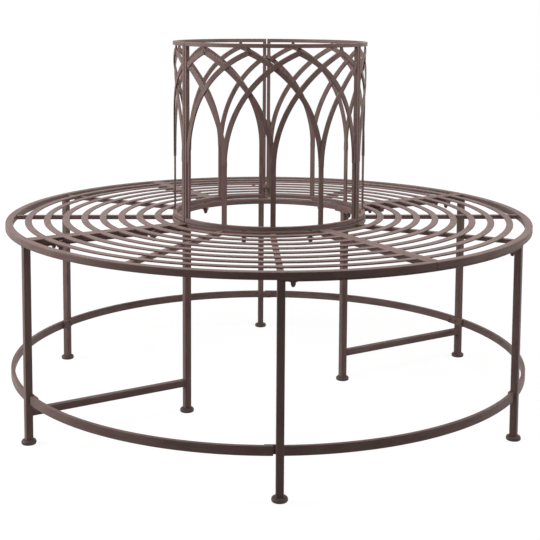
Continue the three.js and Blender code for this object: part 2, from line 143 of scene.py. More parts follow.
def node_adder(tree):
    """Returns a function that adds a node to a tree and sets or links its inputs by their names."""
    def add(kind, settings=(), **values):
        node = tree.nodes.new(kind)
        for name, value in dict(settings).items():
            setattr(node, name, value)
        for name, value in values.items():
            socket = node.inputs[name.replace("_", " ")]
            if isinstance(value, bpy.types.NodeSocket):
                tree.links.new(value, socket)
            else:
                socket.default_value = value
        return node
    return add


def colour(text):
    """A colour written as six hexadecimal digits, in Blender's linear values."""
    parts = [int(text[index:index + 2], 16) / 255 for index in (0, 2, 4)]
    linear = [part / 12.92 if part <= 0.04045 else ((part + 0.055) / 1.055) ** 2.4 for part in parts]
    return (*linear, 1.0)


def ramp(add, factor, *stops):
    node = add("ShaderNodeValToRGB", Fac=factor)
    while len(node.color_ramp.elements) < len(stops):
        node.color_ramp.elements.new(0.5)
    for element, (position, value) in zip(node.color_ramp.elements, stops):
        element.position = position
        element.color = value
    return node.outputs["Color"]


def coat_material(name):
    """A mottled powder coat whose streaks run along each bar, with a fine orange-peel texture."""
    material = bpy.data.materials.new(name)
    material.use_nodes = True
    material.node_tree.nodes.clear()
    add = node_adder(material.node_tree)
    grain = add("ShaderNodeAttribute", {"attribute_name": GRAIN}).outputs["Vector"]
    streak_place = add("ShaderNodeMapping", Vector=grain, Scale=STREAK_SCALE)
    streaks = add("ShaderNodeTexNoise", Vector=streak_place.outputs["Vector"], Scale=1.0, Detail=5.0,
                  Roughness=0.6, Distortion=0.4)
    patch_place = add("ShaderNodeMapping", Vector=grain, Scale=PATCH_SCALE)
    patches = add("ShaderNodeTexNoise", Vector=patch_place.outputs["Vector"], Scale=1.0, Detail=2.0)
    mottle = add("ShaderNodeMix", {"data_type": "FLOAT"}, Factor=0.45, A=patches.outputs["Fac"],
                 B=streaks.outputs["Fac"])
    tone = ramp(add, mottle.outputs["Result"], *zip(TONE_STOPS, map(colour, COAT_TONES)))
    hue_place = add("ShaderNodeMapping", Vector=grain, Location=(3.7, 1.9, 5.3), Scale=HUE_SCALE)
    hues = add("ShaderNodeTexNoise", Vector=hue_place.outputs["Vector"], Scale=1.0, Detail=2.0)
    hue = add("ShaderNodeMapRange", Value=hues.outputs["Fac"], From_Min=0.36, From_Max=0.64,
              To_Min=REDDEST_HUE, To_Max=YELLOWEST_HUE)
    tinted = add("ShaderNodeHueSaturation", Color=tone, Hue=hue.outputs["Result"])
    specks = add("ShaderNodeTexNoise", Vector=grain, Scale=SPECK_SCALE, Detail=2.0, Roughness=0.6)
    peel = add("ShaderNodeTexNoise", Vector=grain, Scale=PEEL_SCALE, Detail=1.0)
    sheen = add("ShaderNodeMapRange", Value=streaks.outputs["Fac"], From_Min=0.3, From_Max=0.7,
                To_Min=COAT_ROUGHNESS - ROUGHNESS_SPREAD, To_Max=COAT_ROUGHNESS + ROUGHNESS_SPREAD)
    fine = add("ShaderNodeBump", Strength=0.16, Distance=0.0002, Height=specks.outputs["Fac"])
    coarse = add("ShaderNodeBump", Strength=0.22, Distance=0.0005, Height=peel.outputs["Fac"],
                 Normal=fine.outputs["Normal"])
    brushed = add("ShaderNodeBump", Strength=0.12, Distance=0.0006, Height=streaks.outputs["Fac"],
                  Normal=coarse.outputs["Normal"])
    surface = add("ShaderNodeBsdfPrincipled", Base_Color=tinted.outputs["Color"], Metallic=0.0,
                  Roughness=sheen.outputs["Result"], Normal=brushed.outputs["Normal"],
                  Specular_IOR_Level=COAT_SPECULAR)
    add("ShaderNodeOutputMaterial", Surface=surface.outputs["BSDF"])
    return material


coat = coat_material("brown_bronze_coat")
tube_outline = rounded_outline(TUBE_SIDE, TUBE_SIDE, TUBE_CORNER)
RIM_LEG_ANGLES = {"outer_leg_left": 300, "rim_leg_front_middle": 0, "rim_leg_front_right": 60,
                  "outer_leg_right": 120, "rim_leg_back_middle": 180, "rim_leg_back_left": 240}
INNER_LEG_ANGLES = {"inner_leg_left": LEFT_FRAME, "inner_leg_right": RIGHT_FRAME}
leg_places = [(name, RIM_LEG_RADIUS, angle) for name, angle in RIM_LEG_ANGLES.items()]
leg_places += [(name, INNER_LEG_RADIUS, angle) for name, angle in INNER_LEG_ANGLES.items()]
for node, radius, angle in leg_places:
    low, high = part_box(node)
    where = bench_turn(angle) @ Matrix.Translation((radius, 0, 0))
    leg = straight_bar(f"{node}_tube", tube_outline, low.z, high.z, where, coat)
    on_bench(leg, "brown_coat", node)

crossbar_level = sum(corner.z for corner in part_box("crossbar_left")) / 2
lying = Matrix.Rotation(math.radians(90), 4, "Y")
for side, angle in (("left", LEFT_FRAME), ("right", RIGHT_FRAME)):
    start = INNER_LEG_RADIUS + TUBE_SIDE / 2
    end = RIM_LEG_RADIUS - TUBE_SIDE / 2
    where = bench_turn(angle) @ Matrix.Translation((0, 0, crossbar_level)) @ lying
    crossbar = straight_bar(f"crossbar_{side}_tube", tube_outline, start, end, where, coat,
                            WELDED_END_BEVEL)
    on_bench(crossbar, "brown_coat", f"crossbar_{side}")


# The feet are round glides of brown moulded plastic, pushed into the open ends of the legs.
# Each has a slightly domed top around the leg, a bulging side and a flat underside.
FOOT_SIDES = 40
FOOT_SHARP_EDGE = math.radians(35)
FOOT_TONES = ("4c3d38", "63524c")
FOOT_SMOOTHEST = 0.5
FOOT_ROUGHEST = 0.66
FOOT_PROFILE = ((0.0, 0.0), (0.0138, 0.0), (0.0152, 0.0005), (0.0161, 0.0017), (0.0165, 0.0033),
                (0.0165, 0.0048), (0.0161, 0.0067), (0.0153, 0.0082), (0.0142, 0.0091),
                (0.0128, 0.0096), (0.0106, 0.0099), (0.0, 0.0101))


def lathe_faces(bm, profile, sides):
    """Adds the closed shape that a profile of radius and height, from axis to axis, sweeps round Z."""
    rings = []
    for radius, height in profile:
        if radius == 0:
            rings.append([bm.verts.new((0, 0, height))])
            continue
        turns = [2 * math.pi * index / sides for index in range(sides)]
        rings.append([bm.verts.new((radius * math.cos(turn), radius * math.sin(turn), height))
                      for turn in turns])
    for low, high in zip(rings, rings[1:]):
        for index in range(sides):
            after = (index + 1) % sides
            corners = [low[index % len(low)], low[after % len(low)], high[after % len(high)],
                       high[index % len(high)]]
            bm.faces.new(list(dict.fromkeys(corners)))


def turned_mesh(name, *shapes):
    """One mesh of turned shapes, each a profile and its number of sides, which point outwards."""
    mesh = bpy.data.meshes.new(name)
    bm = bmesh.new()
    for profile, sides in shapes:
        lathe_faces(bm, profile, sides)
    bmesh.ops.recalc_face_normals(bm, faces=bm.faces)
    bm.to_mesh(mesh)
    bm.free()
    set_grain(mesh, lambda co: co)
    return mesh


def plastic_material(name):
    """Moulded plastic with a faint mottle and a fine spark-eroded texture."""
    material = bpy.data.materials.new(name)
    material.use_nodes = True
    material.node_tree.nodes.clear()
    add = node_adder(material.node_tree)
    place = add("ShaderNodeTexCoord").outputs["Object"]
    mottle = add("ShaderNodeTexNoise", Vector=place, Scale=90.0, Detail=4.0, Roughness=0.6)
    tone = ramp(add, mottle.outputs["Fac"], *zip((0.3, 0.7), map(colour, FOOT_TONES)))
    rough = add("ShaderNodeMapRange", Value=mottle.outputs["Fac"], From_Min=0.3, From_Max=0.7,
                To_Min=FOOT_SMOOTHEST, To_Max=FOOT_ROUGHEST)
    pits = add("ShaderNodeTexNoise", Vector=place, Scale=1500.0, Detail=2.0)
    bump = add("ShaderNodeBump", Strength=0.25, Distance=0.0002, Height=pits.outputs["Fac"])
    surface = add("ShaderNodeBsdfPrincipled", Base_Color=tone, Roughness=rough.outputs["Result"],
                  Normal=bump.outputs["Normal"])
    add("ShaderNodeOutputMaterial", Surface=surface.outputs["BSDF"])
    return material


foot_plastic = plastic_material("foot_plastic")
for node, radius, angle in leg_places:
    mesh = turned_mesh(f"foot_{node}_glide", (FOOT_PROFILE, FOOT_SIDES))
    mesh.transform(bench_turn(angle) @ Matrix.Translation((radius, 0, 0)))
    finish_mesh(mesh, foot_plastic, FOOT_SHARP_EDGE)
    on_bench(new_piece(mesh.name, mesh), "foot_glide", f"foot_{node}")


# The hoop is flat bar on edge, rolled to a circle inside the legs. Two pieces of it are welded
# between the rim legs of the front and back frames, and four bolted pieces close the circle.
HOOP_THICKNESS = 0.009
HOOP_INNER = RIM_LEG_RADIUS - TUBE_SIDE / 2
HOOP_CORNER = 0.0011
HOOP_END_ROOM = 0.005
LEG_SPACING = 60.0
ROLL_STEP = 1.5
SUNK = 0.0003


def started_tree(name, **sockets):
    """A new geometry node tree with named inputs, and the function that adds its nodes."""
    tree = bpy.data.node_groups.new(name, "GeometryNodeTree")
    tree.interface.new_socket("Geometry", in_out="INPUT", socket_type="NodeSocketGeometry")
    for label, kind in sockets.items():
        tree.interface.new_socket(label.replace("_", " "), in_out="INPUT", socket_type=f"NodeSocket{kind}")
    tree.interface.new_socket("Geometry", in_out="OUTPUT", socket_type="NodeSocketGeometry")
    add = node_adder(tree)
    return tree, add, add("NodeGroupInput").outputs


def reckon(add, operation, *values):
    """A Math node on these values or sockets."""
    node = add("ShaderNodeMath", {"operation": operation})
    for socket, value in zip(node.inputs, values):
        if isinstance(value, bpy.types.NodeSocket):
            node.id_data.links.new(value, socket)
        else:
            socket.default_value = value
    return node.outputs["Value"]


def joined_xyz(add, **values):
    return add("ShaderNodeCombineXYZ", **values).outputs["Vector"]


def bar_along(add, path, given):
    """A solid bar with rounded corners along a curve, with the group's Width, Depth and Corner."""
    outline = add("GeometryNodeCurvePrimitiveQuadrilateral", Width=given["Width"], Height=given["Depth"])
    eased = add("GeometryNodeFilletCurve", {"mode": "POLY"}, Curve=outline.outputs["Curve"],
                Count=CORNER_POINTS - 1, Radius=given["Corner"])
    upright = add("GeometryNodeSetCurveNormal", {"mode": "Z_UP"}, Curve=path)
    swept = add("GeometryNodeCurveToMesh", Curve=upright.outputs["Curve"],
                Profile_Curve=eased.outputs["Curve"], Fill_Caps=True)
    return swept.outputs["Mesh"]


def with_grain(add, geometry, grain):
    kept = add("GeometryNodeStoreNamedAttribute", {"data_type": "FLOAT_VECTOR", "domain": "POINT"},
               Geometry=geometry, Name=GRAIN, Value=grain)
    return kept.outputs["Geometry"]


def finished_tree(add, geometry, given):
    """Ends a tree: its geometry gets the group's material."""
    painted = add("GeometryNodeSetMaterial", Geometry=geometry, Material=given["Material"])
    add("NodeGroupOutput", Geometry=painted.outputs["Geometry"])


def rolled_bar_tree():
    """Rows of bars laid out flat, as radius against angle, and then rolled to circles round Z."""
    tree, add, given = started_tree(
        "rolled_bars", Radius="Float", Height="Float", Width="Float", Depth="Float", Corner="Float",
        Start="Float", End="Float", Steps="Int", Count="Int", Spacing="Float", Material="Material")
    line = add("GeometryNodeCurvePrimitiveLine", Start=joined_xyz(add, Y=given["Start"]),
               End=joined_xyz(add, Y=given["End"]))
    fine = add("GeometryNodeResampleCurve", Curve=line.outputs["Curve"], Count=given["Steps"])
    bar = bar_along(add, fine.outputs["Curve"], given)
    row = add("GeometryNodeMeshLine", Count=given["Count"],
              Start_Location=joined_xyz(add, X=given["Radius"], Z=given["Height"]),
              Offset=joined_xyz(add, X=given["Spacing"]))
    copies = add("GeometryNodeInstanceOnPoints", Points=row.outputs["Mesh"], Instance=bar)
    solid = add("GeometryNodeRealizeInstances", Geometry=copies.outputs["Instances"])
    position = add("GeometryNodeInputPosition").outputs["Position"]
    flat = add("ShaderNodeSeparateXYZ", Vector=position).outputs
    along = reckon(add, "MULTIPLY", flat["Y"], given["Radius"])
    grained = with_grain(add, solid.outputs["Geometry"], joined_xyz(add, X=flat["X"], Y=along, Z=flat["Z"]))
    round_x = reckon(add, "MULTIPLY", flat["X"], reckon(add, "COSINE", flat["Y"]))
    round_y = reckon(add, "MULTIPLY", flat["X"], reckon(add, "SINE", flat["Y"]))
    rolled = add("GeometryNodeSetPosition", Geometry=grained,
                 Position=joined_xyz(add, X=round_x, Y=round_y, Z=flat["Z"]))
    finished_tree(add, rolled.outputs["Geometry"], given)
    return tree


def made_by(tree, name, base=None, sharp=SHARP_EDGE, **sizes):
    """Runs a tree with these sizes and returns what it makes as a piece with a plain mesh."""
    piece = new_piece(name, base or bpy.data.meshes.new(name))
    maker = piece.modifiers.new("maker", "NODES")
    maker.node_group = tree
    for item in tree.interface.items_tree:
        label = item.name.replace(" ", "_")
        if item.in_out == "INPUT" and label in sizes:
            maker[item.identifier] = sizes[label]
    evaluated = piece.evaluated_get(bpy.context.evaluated_depsgraph_get())
    mesh = bpy.data.meshes.new_from_object(evaluated)
    piece.modifiers.remove(maker)
    mesh.name = name
    piece.data = mesh
    mesh.shade_smooth()
    mesh.set_sharp_from_angle(angle=sharp)
    return piece


rolled_bars = rolled_bar_tree()


def rolled_bar(name, turn, radius, height, width, depth, corner, start, end, end_room, **more):
    """A bar rolled about the bench's axis between two angles in degrees, short of both by end_room."""
    first = math.radians(start) + end_room / radius
    last = math.radians(end) - end_room / radius
    values = {"Count": 1, "Spacing": 0.0, "Steps": 1 + math.ceil((end - start) / ROLL_STEP), **more}
    piece = made_by(rolled_bars, name, Radius=radius, Height=height, Width=width, Depth=depth,
                    Corner=corner, Start=first, End=last, Material=coat, **values)
    piece.data.transform(bench_turn(turn))
    return piece


hoop_low, hoop_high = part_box("hoop_welded_front")
hoop_level = (hoop_low.z + hoop_high.z) / 2
hoop_depth = hoop_high.z - hoop_low.z
hoop_radius = HOOP_INNER + HOOP_THICKNESS / 2
BOLTED_HOOPS = {"hoop_bolted_left_front": 300, "hoop_bolted_right_front": 60,
                "hoop_bolted_right_back": 120, "hoop_bolted_left_back": 240}
WELDED_HOOPS = {"hoop_welded_front": 0, "hoop_welded_back": 180}
for names, room in ((WELDED_HOOPS, TUBE_SIDE / 2 - SUNK), (BOLTED_HOOPS, TUBE_SIDE / 2 + HOOP_END_ROOM)):
    for node, angle in names.items():
        hoop = rolled_bar(f"{node}_bar", angle, hoop_radius, hoop_level, HOOP_THICKNESS, hoop_depth,
                          HOOP_CORNER, 0, LEG_SPACING, room)
        on_bench(hoop, "brown_coat", node)


# Splice plates of flat steel lie on the hoop's inner face behind each leg and carry it across.
# Round-headed bolts go out through the plate into the leg and into each bolted hoop piece.
SPLICE_THICKNESS = 0.003
SPLICE_REACH = 0.022
SPLICE_GAP = 0.0001
SPLICE_CORNER = 0.0006
PLATE_STEPS = 9
HOOP_BOLT_INSET = 0.016
LEG_BOLT_RISE = 0.003
HEAD_SIDES = 28
HEAD_RIM_SHARE = 0.12
DOME_ROWS = 7
SMALL_SHARP_EDGE = math.radians(32)
HOOP_HEAD_RADIUS = 0.0054
HOOP_HEAD_HEIGHT = 0.004


def dome_profile(radius, height):
    """A round bolt head that stands on z = 0, with a short straight rim below its dome."""
    low = height * HEAD_RIM_SHARE
    turns = [math.pi / 2 * row / DOME_ROWS for row in range(DOME_ROWS)]
    dome = [(radius * math.cos(turn), low + (height - low) * math.sin(turn)) for turn in turns]
    return [(0.0, -SUNK), (radius, -SUNK), *dome, (0.0, height)]


def repeated_tree():
    """Copies of one part on points, each copy turned as its point says."""
    tree, add, given = started_tree("repeated_parts", Part="Object", Material="Material")
    part = add("GeometryNodeObjectInfo", Object=given["Part"])
    turn = add("GeometryNodeInputNamedAttribute", {"data_type": "FLOAT_VECTOR"}, Name="turn")
    rotation = add("FunctionNodeEulerToRotation", Euler=turn.outputs["Attribute"])
    copies = add("GeometryNodeInstanceOnPoints", Points=given["Geometry"],
                 Instance=part.outputs["Geometry"], Rotation=rotation.outputs["Rotation"])
    solid = add("GeometryNodeRealizeInstances", Geometry=copies.outputs["Instances"])
    finished_tree(add, solid.outputs["Geometry"], given)
    return tree


repeated_parts = repeated_tree()


def repeated(name, part_mesh, places):
    """One coated piece of copies of a mesh at these places, which are 4 by 4 matrices."""
    points = bpy.data.meshes.new(name)
    points.from_pydata([place.to_translation() for place in places], [], [])
    turns = points.attributes.new("turn", "FLOAT_VECTOR", "POINT")
    for place, value in zip(places, turns.data):
        value.vector = place.to_euler()
    part = bpy.data.objects.new(f"{name}_part", part_mesh)
    piece = made_by(repeated_parts, name, points, SMALL_SHARP_EDGE, Part=part, Material=coat)
    bpy.data.objects.remove(part)
    on_bench(piece, "brown_coat")


def inward(angle, radius, height, along=0.0):
    """Where a part made along +Z stands on an inner face and points at the bench's axis."""
    return (bench_turn(angle) @ Matrix.Translation((radius, along, height))
            @ Matrix.Rotation(math.radians(-90), 4, "Y"))


splice_radius = HOOP_INNER - SPLICE_GAP - SPLICE_THICKNESS / 2
hoop_bolt_turn = math.degrees((TUBE_SIDE / 2 + HOOP_BOLT_INSET) / HOOP_INNER)
plate_half_turn = math.degrees(TUBE_SIDE / 2 / HOOP_INNER)
plate_reach_turn = math.degrees((TUBE_SIDE / 2 + SPLICE_REACH) / HOOP_INNER)
SPLICES = {"left": (300, True, True), "front": (0, True, False), "right_front": (60, False, True),
           "right": (120, True, True), "back": (180, True, False), "left_back": (240, False, True)}
hoop_bolt_places = []
head_radius = splice_radius - SPLICE_THICKNESS / 2
for name, (angle, before, after) in SPLICES.items():
    start = -(plate_reach_turn if before else plate_half_turn)
    end = plate_reach_turn if after else plate_half_turn
    plate = rolled_bar(f"hoop_splice_{name}_plate", angle, splice_radius, hoop_level, SPLICE_THICKNESS,
                       hoop_depth, SPLICE_CORNER, start, end, 0.0, Steps=PLATE_STEPS)
    on_bench(plate, "brown_coat", f"hoop_splice_{name}")
    hoop_bolt_places.append(inward(angle, head_radius, hoop_level + LEG_BOLT_RISE))
    for side, present in ((-1, before), (1, after)):
        if present:
            hoop_bolt_places.append(inward(angle + side * hoop_bolt_turn, head_radius, hoop_level))
hoop_head = turned_mesh("hoop_bolt_head", (dome_profile(HOOP_HEAD_RADIUS, HOOP_HEAD_HEIGHT), HEAD_SIDES))
repeated("hoop_bolts", hoop_head, hoop_bolt_places)


# Each quarter of the seat has a square-edged tube for its rim and a smaller one for its inner
# ring, both rolled to the bench's circle. The panels meet at four joints with a hairline gap.
SEAT_PANELS = {"front_left": -60, "front_right": 30, "back_right": 120, "back_left": 210}
PANEL_ANGLE = 90.0
SEAT_RADIUS = 0.625
RIM_WIDTH = 0.017
OPENING_RADIUS = 0.217
RING_WIDTH = 0.017
SEAT_TUBE_CORNER = 0.0016
PANEL_END_ROOM = 0.0005

rim_low, rim_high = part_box("seat_rim_front_left")
seat_level = rim_high.z
seat_underside = rim_low.z
ring_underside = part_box("seat_inner_ring_front_left")[0].z
for name, angle in SEAT_PANELS.items():
    for node, middle, width in (("seat_rim", SEAT_RADIUS - RIM_WIDTH / 2, RIM_WIDTH),
                                ("seat_inner_ring", OPENING_RADIUS + RING_WIDTH / 2, RING_WIDTH)):
        low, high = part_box(f"{node}_{name}")
        tube = rolled_bar(f"{node}_{name}_tube", angle, middle, (low.z + high.z) / 2, width,
                          high.z - low.z, SEAT_TUBE_CORNER, 0, PANEL_ANGLE, PANEL_END_ROOM)
        on_bench(tube, "brown_coat", f"{node}_{name}")


# Eight slats of thin flat bar are rolled to circles and welded on two radial bars in each panel.
# At both ends they meet a strip flush with them, on a narrow bar that carries the frame's tabs.
SLAT_COUNT = 8
SLAT_WIDTH = 0.016
SLAT_THICKNESS = 0.003
SLAT_CORNER = 0.0009
BAR_WIDTH = 0.0125
BAR_DEPTH = 0.0095
END_STRIP_WIDTH = 0.014
END_STRIP_RISE = 0.0001
END_BAR_WIDTH = 0.007
END_BAR_ROOM = 0.0003
BAR_CORNER = 0.001
BAR_SPACES = 3
TAB_RADII = (0.545, 0.322)
TAB_OFFSET = 0.020
TAB_SIZE = 0.017
TAB_THICKNESS = 0.005
TAB_CORNER = 0.001


def spoke_tree():
    """Straight bars that point at the axis, repeated by angle about it."""
    tree, add, given = started_tree(
        "spokes", Inner="Float", Outer="Float", Height="Float", Aside="Float", Width="Float",
        Depth="Float", Corner="Float", First="Float", Step="Float", Count="Int", Material="Material")
    line = add("GeometryNodeCurvePrimitiveLine",
               Start=joined_xyz(add, X=given["Inner"], Y=given["Aside"], Z=given["Height"]),
               End=joined_xyz(add, X=given["Outer"], Y=given["Aside"], Z=given["Height"]))
    bar = bar_along(add, line.outputs["Curve"], given)
    position = add("GeometryNodeInputPosition").outputs["Position"]
    place = add("ShaderNodeSeparateXYZ", Vector=position).outputs
    index = add("GeometryNodeInputIndex").outputs["Index"]
    turn = reckon(add, "MULTIPLY_ADD", index, given["Step"], given["First"])
    hub = add("GeometryNodeMeshLine", Count=given["Count"], Offset=(0.0, 0.0, 0.0))
    grained = with_grain(add, bar, joined_xyz(add, X=place["Y"], Y=place["X"], Z=place["Z"]))
    copies = add("GeometryNodeInstanceOnPoints", Points=hub.outputs["Mesh"], Instance=grained,
                 Rotation=joined_xyz(add, Z=turn))
    solid = add("GeometryNodeRealizeInstances", Geometry=copies.outputs["Instances"])
    finished_tree(add, solid.outputs["Geometry"], given)
    return tree


spokes = spoke_tree()
rim_inner = SEAT_RADIUS - RIM_WIDTH
ring_outer = OPENING_RADIUS + RING_WIDTH
slat_gap = (rim_inner - ring_outer - SLAT_COUNT * SLAT_WIDTH) / (SLAT_COUNT + 1)
first_slat = rim_inner - slat_gap - SLAT_WIDTH / 2
slat_underside = seat_level - SLAT_THICKNESS
end_bar_depth = slat_underside - seat_underside - END_BAR_ROOM
tab_top = seat_underside + TAB_THICKNESS


def joined_pieces(name, pieces):
    """Puts several coated pieces into one, under this name."""
    bm = bmesh.new()
    for piece in pieces:
        bm.from_mesh(piece.data)
    mesh = bpy.data.meshes.new(name)
    bm.to_mesh(mesh)
    bm.free()
    finish_mesh(mesh, coat)
    for piece in pieces:
        bpy.data.objects.remove(piece)
    return new_piece(name, mesh)


bar_step = math.radians(PANEL_ANGLE / BAR_SPACES)
for index, (name, angle) in enumerate(SEAT_PANELS.items()):
    slats = rolled_bar(f"slats_{name}", angle, first_slat, seat_level - SLAT_THICKNESS / 2, SLAT_WIDTH,
                       SLAT_THICKNESS, SLAT_CORNER, 0, PANEL_ANGLE, PANEL_END_ROOM,
                       Count=SLAT_COUNT, Spacing=-SLAT_WIDTH - slat_gap)
    reach = {"Inner": ring_outer - SUNK, "Outer": rim_inner + SUNK, "Material": coat}
    bars = made_by(spokes, f"bars_{name}", Aside=0.0, Width=BAR_WIDTH, Depth=BAR_DEPTH, Corner=BAR_CORNER,
                   Height=slat_underside - BAR_DEPTH / 2, Count=BAR_SPACES - 1, First=bar_step,
                   Step=bar_step, **reach)
    bars.data.transform(bench_turn(angle))
    pieces = [slats, bars]
    has_tabs = {1: index % 2 == 0, -1: index % 2 == 1}
    for side in (1, -1):
        end_turn = angle if side > 0 else angle + PANEL_ANGLE
        flush = slat_underside + SLAT_THICKNESS / 2 + END_STRIP_RISE
        under = slat_underside - end_bar_depth / 2
        for kind, width, depth, corner, level in (
                ("strip", END_STRIP_WIDTH, SLAT_THICKNESS, SLAT_CORNER, flush),
                ("bar", END_BAR_WIDTH, end_bar_depth, BAR_CORNER, under)):
            end = made_by(spokes, f"end_{kind}_{name}_{side}", Aside=side * (PANEL_END_ROOM + width / 2),
                          Width=width, Depth=depth, Corner=corner, Height=level, Count=1, First=0.0,
                          Step=0.0, **reach)
            end.data.transform(bench_turn(end_turn))
            pieces.append(end)
        for radius in TAB_RADII if has_tabs[side] else ():
            length = TAB_OFFSET + TAB_SIZE / 2 - PANEL_END_ROOM
            middle = side * (PANEL_END_ROOM + length / 2)
            where = bench_turn(end_turn) @ Matrix.Translation((radius, middle, 0))
            pieces.append(straight_bar(f"tab_{name}", rounded_outline(TAB_SIZE, length, TAB_CORNER),
                                       seat_underside, tab_top, where, coat))
    grid = joined_pieces(f"seat_grid_{name}_slats_and_bars", pieces)
    on_bench(grid, "brown_coat", f"seat_grid_{name}")


# Flat bars cap the leg frames under the seat: on each radial frame a straight one with two cross
# arms and a pad under the inner ring, and on each tangential frame one rolled to the rim's circle.
TOP_BAR_WIDTH = 0.017
LEG_INSET = 0.0006
PLATE_CORNER = 0.0008
TANGENTIAL_JOINTS = {"front": 30, "back": 210}

leg_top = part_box("outer_leg_left")[1].z
plate_level = (seat_underside + leg_top) / 2
plate_thickness = seat_underside - leg_top
ring_middle = OPENING_RADIUS + RING_WIDTH / 2
leg_outer_face = SEAT_RADIUS - LEG_INSET
inner_end = INNER_LEG_RADIUS - TUBE_SIDE / 2
arm_half = TAB_OFFSET + TAB_SIZE / 2
pad_turn = math.degrees(arm_half / ring_middle)
across = Matrix.Rotation(math.radians(90), 4, "X")
for side, angle in (("left", LEFT_FRAME), ("right", RIGHT_FRAME)):
    turned = bench_turn(angle) @ Matrix.Translation((0, 0, plate_level))
    spine = straight_bar(f"top_spine_{side}", rounded_outline(plate_thickness, TOP_BAR_WIDTH, PLATE_CORNER),
                         inner_end, leg_outer_face, turned @ lying, coat)
    pad = rolled_bar(f"top_pad_{side}", angle, ring_middle, (ring_underside + seat_underside) / 2,
                     RING_WIDTH, ring_underside - seat_underside + SUNK, PLATE_CORNER, -pad_turn, pad_turn,
                     0.0, Steps=PLATE_STEPS)
    flats = [spine, pad]
    for radius in TAB_RADII:
        where = turned @ Matrix.Translation((radius, 0, 0)) @ across
        arm_outline = rounded_outline(TAB_SIZE, plate_thickness, PLATE_CORNER)
        flats.append(straight_bar(f"top_arms_{side}", arm_outline, -arm_half, arm_half, where, coat))
    top_bar = joined_pieces(f"top_bar_{side}_flats", flats)
    on_bench(top_bar, "brown_coat", f"top_bar_{side}")
for name, angle in TANGENTIAL_JOINTS.items():
    bar = rolled_bar(f"rim_bar_{name}_flat", angle, leg_outer_face - TOP_BAR_WIDTH / 2, plate_level,
                     TOP_BAR_WIDTH, plate_thickness, PLATE_CORNER, -LEG_SPACING / 2, LEG_SPACING / 2,
                     -TUBE_SIDE / 2)
    on_bench(bar, "brown_coat", f"rim_bar_{name}")


# Bolts hang from the seat's joints: each shank comes down through a flat bar or the inner ring and
# ends in a plain washer and a domed cap nut. On the tabs their hexagon heads show from above.
WASHER_RADIUS = 0.0085
WASHER_THICKNESS = 0.0016
WASHER_EASE = 0.0003
NUT_ACROSS = 0.0056
NUT_COLLAR = 0.0045
CAP_HEIGHT = 0.011
CAP_DOME_SHARE = 0.86
NUT_EASE = 0.0006
NEAR_LEG_BOLT = 0.023
FAR_LEG_BOLT = 0.044
BOLT_HEAD_RADIUS = 0.005
BOLT_HEAD_HEIGHT = 0.0044
HEXAGON = 6
SLEEVE_RADIUS = 0.0045
SLEEVE_LENGTH = 0.0035
BACK_PANELS = {"front": -60, "back_right": 60, "back_left": 180}
BOSS_TURNS = (43.5, 82.0)
BACK_RADIUS = 0.228


def cap_nut_mesh():
    """A washer, a hexagon collar and a dome, below z = 0, with a stub of the bolt above."""
    washer_low = -WASHER_THICKNESS
    collar_low = washer_low - NUT_COLLAR
    washer = [(0.0, SUNK), (WASHER_RADIUS - WASHER_EASE, SUNK), (WASHER_RADIUS, -WASHER_EASE),
              (WASHER_RADIUS, washer_low + WASHER_EASE), (WASHER_RADIUS - WASHER_EASE, washer_low),
              (0.0, washer_low)]
    collar = [(0.0, washer_low + SUNK), (NUT_ACROSS - NUT_EASE, washer_low + SUNK),
              (NUT_ACROSS, washer_low - NUT_EASE), (NUT_ACROSS, collar_low + NUT_EASE),
              (NUT_ACROSS - NUT_EASE, collar_low), (0.0, collar_low)]
    dome_radius = NUT_ACROSS * CAP_DOME_SHARE
    dome_height = CAP_HEIGHT - NUT_COLLAR
    dome = [(0.0, collar_low + SUNK), (dome_radius, collar_low + SUNK)]
    for row in range(DOME_ROWS):
        turn = math.pi / 2 * row / DOME_ROWS
        dome.append((dome_radius * math.cos(turn), collar_low - dome_height * math.sin(turn)))
    dome.append((0.0, collar_low - dome_height))
    return turned_mesh("cap_nut", (washer, HEAD_SIDES), (collar, HEXAGON), (dome, HEAD_SIDES))


cap_nut = cap_nut_mesh()
along_rim = math.degrees(1 / RIM_LEG_RADIUS)
rim_bolt_turns = (-LEG_SPACING / 2 + NEAR_LEG_BOLT * along_rim, LEG_SPACING / 2 - FAR_LEG_BOLT * along_rim)
nut_places = []
head_places = []
for angle in TANGENTIAL_JOINTS.values():
    for turn in rim_bolt_turns:
        nut_places.append(bench_turn(angle + turn) @ Matrix.Translation((RIM_LEG_RADIUS, 0, leg_top)))
for angle in (LEFT_FRAME, RIGHT_FRAME):
    for radius in TAB_RADII:
        for side in (-1, 1):
            turned = bench_turn(angle) @ Matrix.Translation((radius, side * TAB_OFFSET, 0))
            nut_places.append(turned @ Matrix.Translation((0, 0, leg_top)))
            head_places.append(turned @ Matrix.Translation((0, 0, tab_top)))
    pad_bolt = bench_turn(angle - math.degrees(TAB_OFFSET / ring_middle))
    nut_places.append(pad_bolt @ Matrix.Translation((ring_middle, 0, seat_underside)))
sleeve_places = [bench_turn(angle + turn) @ Matrix.Translation((BACK_RADIUS, 0, ring_underside))
                 for angle in BACK_PANELS.values() for turn in BOSS_TURNS]
nut_places += [place @ Matrix.Translation((0, 0, -SLEEVE_LENGTH)) for place in sleeve_places]
repeated("seat_cap_nuts", cap_nut, nut_places)
tab_head = turned_mesh("tab_bolt_head", ([
    (0.0, -SUNK), (BOLT_HEAD_RADIUS, -SUNK), (BOLT_HEAD_RADIUS, BOLT_HEAD_HEIGHT - NUT_EASE),
    (BOLT_HEAD_RADIUS - NUT_EASE, BOLT_HEAD_HEIGHT), (0.0, BOLT_HEAD_HEIGHT)], HEXAGON))
repeated("tab_bolt_heads", tab_head, head_places)
